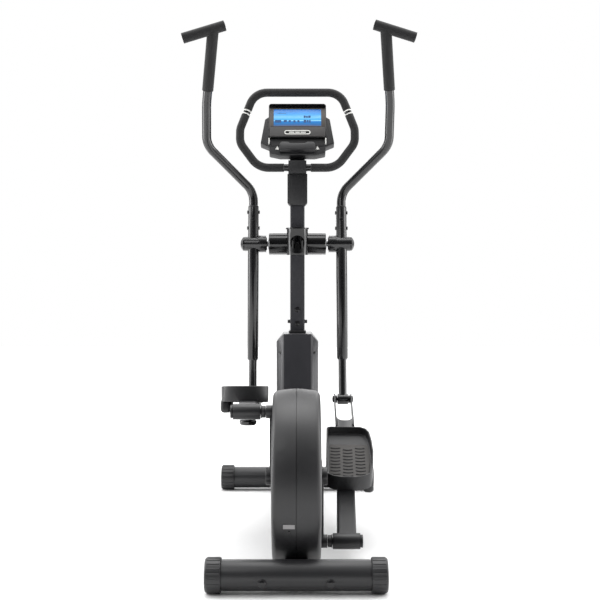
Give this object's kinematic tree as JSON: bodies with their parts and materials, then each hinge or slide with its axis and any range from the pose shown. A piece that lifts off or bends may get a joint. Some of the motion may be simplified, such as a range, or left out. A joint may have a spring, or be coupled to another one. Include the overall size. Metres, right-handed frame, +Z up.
{
  "type": "elliptical trainer",
  "caption": "Rear-drive elliptical trainer with swinging arms and pedals, a fixed handlebar loop, a console, a bottle holder and a closed drive casing.",
  "frame": {"origin": "on the floor, midway between the stabilizer tubes and midway across", "axes": "+X to the rider's right, +Y forward towards the console, +Z up"},
  "size_m": [0.7794, 1.3405, 1.6319],
  "materials": {
    "painted_steel": "satin powder coat, charcoal",
    "post_paint": "fine textured powder coat, dark grey",
    "gloss_steel": "gloss black enamel",
    "zinc_steel": "zinc plated",
    "casing_plastic": "fine grained moulded ABS",
    "silver_plastic": "satin silver grey ABS",
    "gloss_plastic": "gloss black ABS",
    "screen": "blue backlit LCD under a clear lens",
    "foam": "closed cell foam, matte",
    "rubber": "moulded rubber",
    "cast_iron": "turned and blackened"
  },
  "bodies": {
    "root": {"rear_stabilizer": "painted_steel", "front_stabilizer": "painted_steel", "main_rail": "painted_steel", "drive_uprights": "painted_steel", "post_stub": "painted_steel", "post": "post_paint", "frame_bolts": "zinc_steel", "casing_left": "casing_plastic", "casing_right": "casing_plastic", "casing_screws": "zinc_steel", "hub_covers": "casing_plastic", "shroud_left": "silver_plastic", "shroud_right": "silver_plastic", "shroud_panel": "casing_plastic", "crank_bearings": "zinc_steel", "pivot_axle": "zinc_steel", "pivot_covers": "casing_plastic", "post_sleeve": "casing_plastic", "handlebar_clamp": "casing_plastic", "handlebar_loop": "gloss_steel", "loop_foam": "foam", "console_neck": "casing_plastic", "console_shell": "casing_plastic", "console_bezel": "gloss_plastic", "console_screen": "screen", "tablet_ledge": "casing_plastic", "bottle_cage": "gloss_plastic", "tension_motor": "casing_plastic", "drive_belt": "rubber", "front_caps": "casing_plastic", "wheel_axles": "zinc_steel"},
    "crank": {"crank_axle": "zinc_steel", "crank_arm_left": "painted_steel", "crank_arm_right": "painted_steel", "drive_pulley": "casing_plastic"},
    "flywheel_unit": {"flywheel": "cast_iron"},
    "brake": {"brake_magnets": "painted_steel"},
    "left_arm": {"arm_left": "painted_steel", "arm_bushes_left": "casing_plastic", "arm_bolts_left": "zinc_steel", "handle_left": "gloss_steel", "handle_grip_left": "foam"},
    "right_arm": {"arm_right": "painted_steel", "arm_bushes_right": "casing_plastic", "arm_bolts_right": "zinc_steel", "handle_right": "gloss_steel", "handle_grip_right": "foam"},
    "left_bar": {"bar_left": "painted_steel", "pedal_left": "casing_plastic", "rear_pivot_left": "zinc_steel", "knuckle_pivot_left": "zinc_steel"},
    "right_bar": {"bar_right": "painted_steel", "pedal_right": "casing_plastic", "rear_pivot_right": "zinc_steel", "knuckle_pivot_right": "zinc_steel"},
    "left_leveller": {"rear_cap_left": "casing_plastic"},
    "right_leveller": {"rear_cap_right": "casing_plastic"},
    "left_wheel": {"wheel_left": "rubber"},
    "right_wheel": {"wheel_right": "rubber"}
  },
  "joints": [
    {"name": "crank_spin", "type": "hinge", "parent": "root", "child": "crank", "pos_m": [0, -0.4085, 0.246], "axis": [1, 0, 0], "continuous": true},
    {"name": "flywheel_spin", "type": "hinge", "parent": "root", "child": "flywheel_unit", "pos_m": [0, -0.0635, 0.216], "axis": [1, 0, 0], "continuous": true},
    {"name": "brake_swing", "type": "hinge", "parent": "root", "child": "brake", "pos_m": [0, 0.03609, 0.29956], "axis": [1, 0, 0], "range_deg": [0, 6]},
    {"name": "left_arm_swing", "type": "hinge", "parent": "root", "child": "left_arm", "pos_m": [0, 0.4565, 0.892], "axis": [1, 0, 0], "range_deg": [-20, 15]},
    {"name": "right_arm_swing", "type": "hinge", "parent": "root", "child": "right_arm", "pos_m": [0, 0.4565, 0.892], "axis": [1, 0, 0], "range_deg": [-15, 20]},
    {"name": "left_bar_pivot", "type": "hinge", "parent": "left_arm", "child": "left_bar", "pos_m": [0, 0.39889, 0.35408], "axis": [1, 0, 0], "range_deg": [-15, 20]},
    {"name": "right_bar_pivot", "type": "hinge", "parent": "right_arm", "child": "right_bar", "pos_m": [0, 0.34821, 0.36195], "axis": [1, 0, 0], "range_deg": [-20, 15]},
    {"name": "left_leveller_turn", "type": "hinge", "parent": "root", "child": "left_leveller", "pos_m": [0, -0.6235, 0.044], "axis": [1, 0, 0], "range_deg": [-60, 60]},
    {"name": "right_leveller_turn", "type": "hinge", "parent": "root", "child": "right_leveller", "pos_m": [0, -0.6235, 0.044], "axis": [1, 0, 0], "range_deg": [-60, 60]},
    {"name": "left_wheel_spin", "type": "hinge", "parent": "root", "child": "left_wheel", "pos_m": [0, 0.6495, 0.028], "axis": [1, 0, 0], "continuous": true},
    {"name": "right_wheel_spin", "type": "hinge", "parent": "root", "child": "right_wheel", "pos_m": [0, 0.6495, 0.028], "axis": [1, 0, 0], "continuous": true}
  ],
  "couplings": [
    {"joint": "flywheel_spin", "follows": "crank_spin", "ratio": 6.1667},
    {"joint": "right_arm_swing", "follows": "left_arm_swing", "ratio": -1},
    {"joint": "left_bar_pivot", "follows": "left_arm_swing", "ratio": -1},
    {"joint": "right_bar_pivot", "follows": "left_arm_swing", "ratio": 1}
  ]
}
